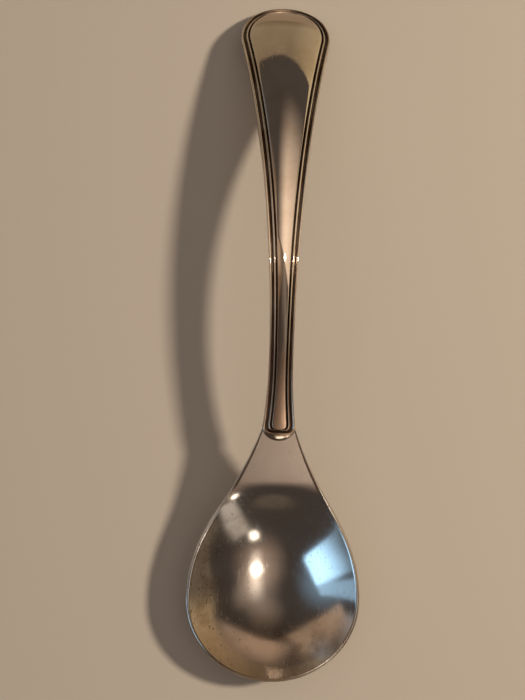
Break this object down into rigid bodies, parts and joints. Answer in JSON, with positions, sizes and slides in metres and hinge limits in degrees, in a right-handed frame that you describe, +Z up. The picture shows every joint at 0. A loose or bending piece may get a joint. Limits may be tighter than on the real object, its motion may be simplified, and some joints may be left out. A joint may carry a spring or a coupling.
{
  "type": "sauce spoon",
  "caption": "Hollow-handled sauce spoon: a drop-shaped pressed steel bowl on a flat neck plate, its tang cemented into an arched handle of stamped shells with a double-thread border.",
  "frame": {"origin": "on the table under the middle of the spoon, as it lies with its bowl up", "axes": "+Y along the spoon towards the handle's end, +Z up out of the bowl, +X to the right of someone who looks down with the bowl nearest"},
  "size_m": [0.0466, 0.189, 0.0269],
  "materials": {
    "bowl_steel": "mirror polished, fine use scratches",
    "handle_silver": "polished silver, tarnished in the flutes",
    "solder": "plain",
    "cement": "matt"
  },
  "bodies": {
    "root": {"bowl": "bowl_steel", "handle_front_shell": "handle_silver", "handle_back_shell": "handle_silver", "seam_solder": "solder", "handle_filler": "cement"}
  },
  "joints": []
}
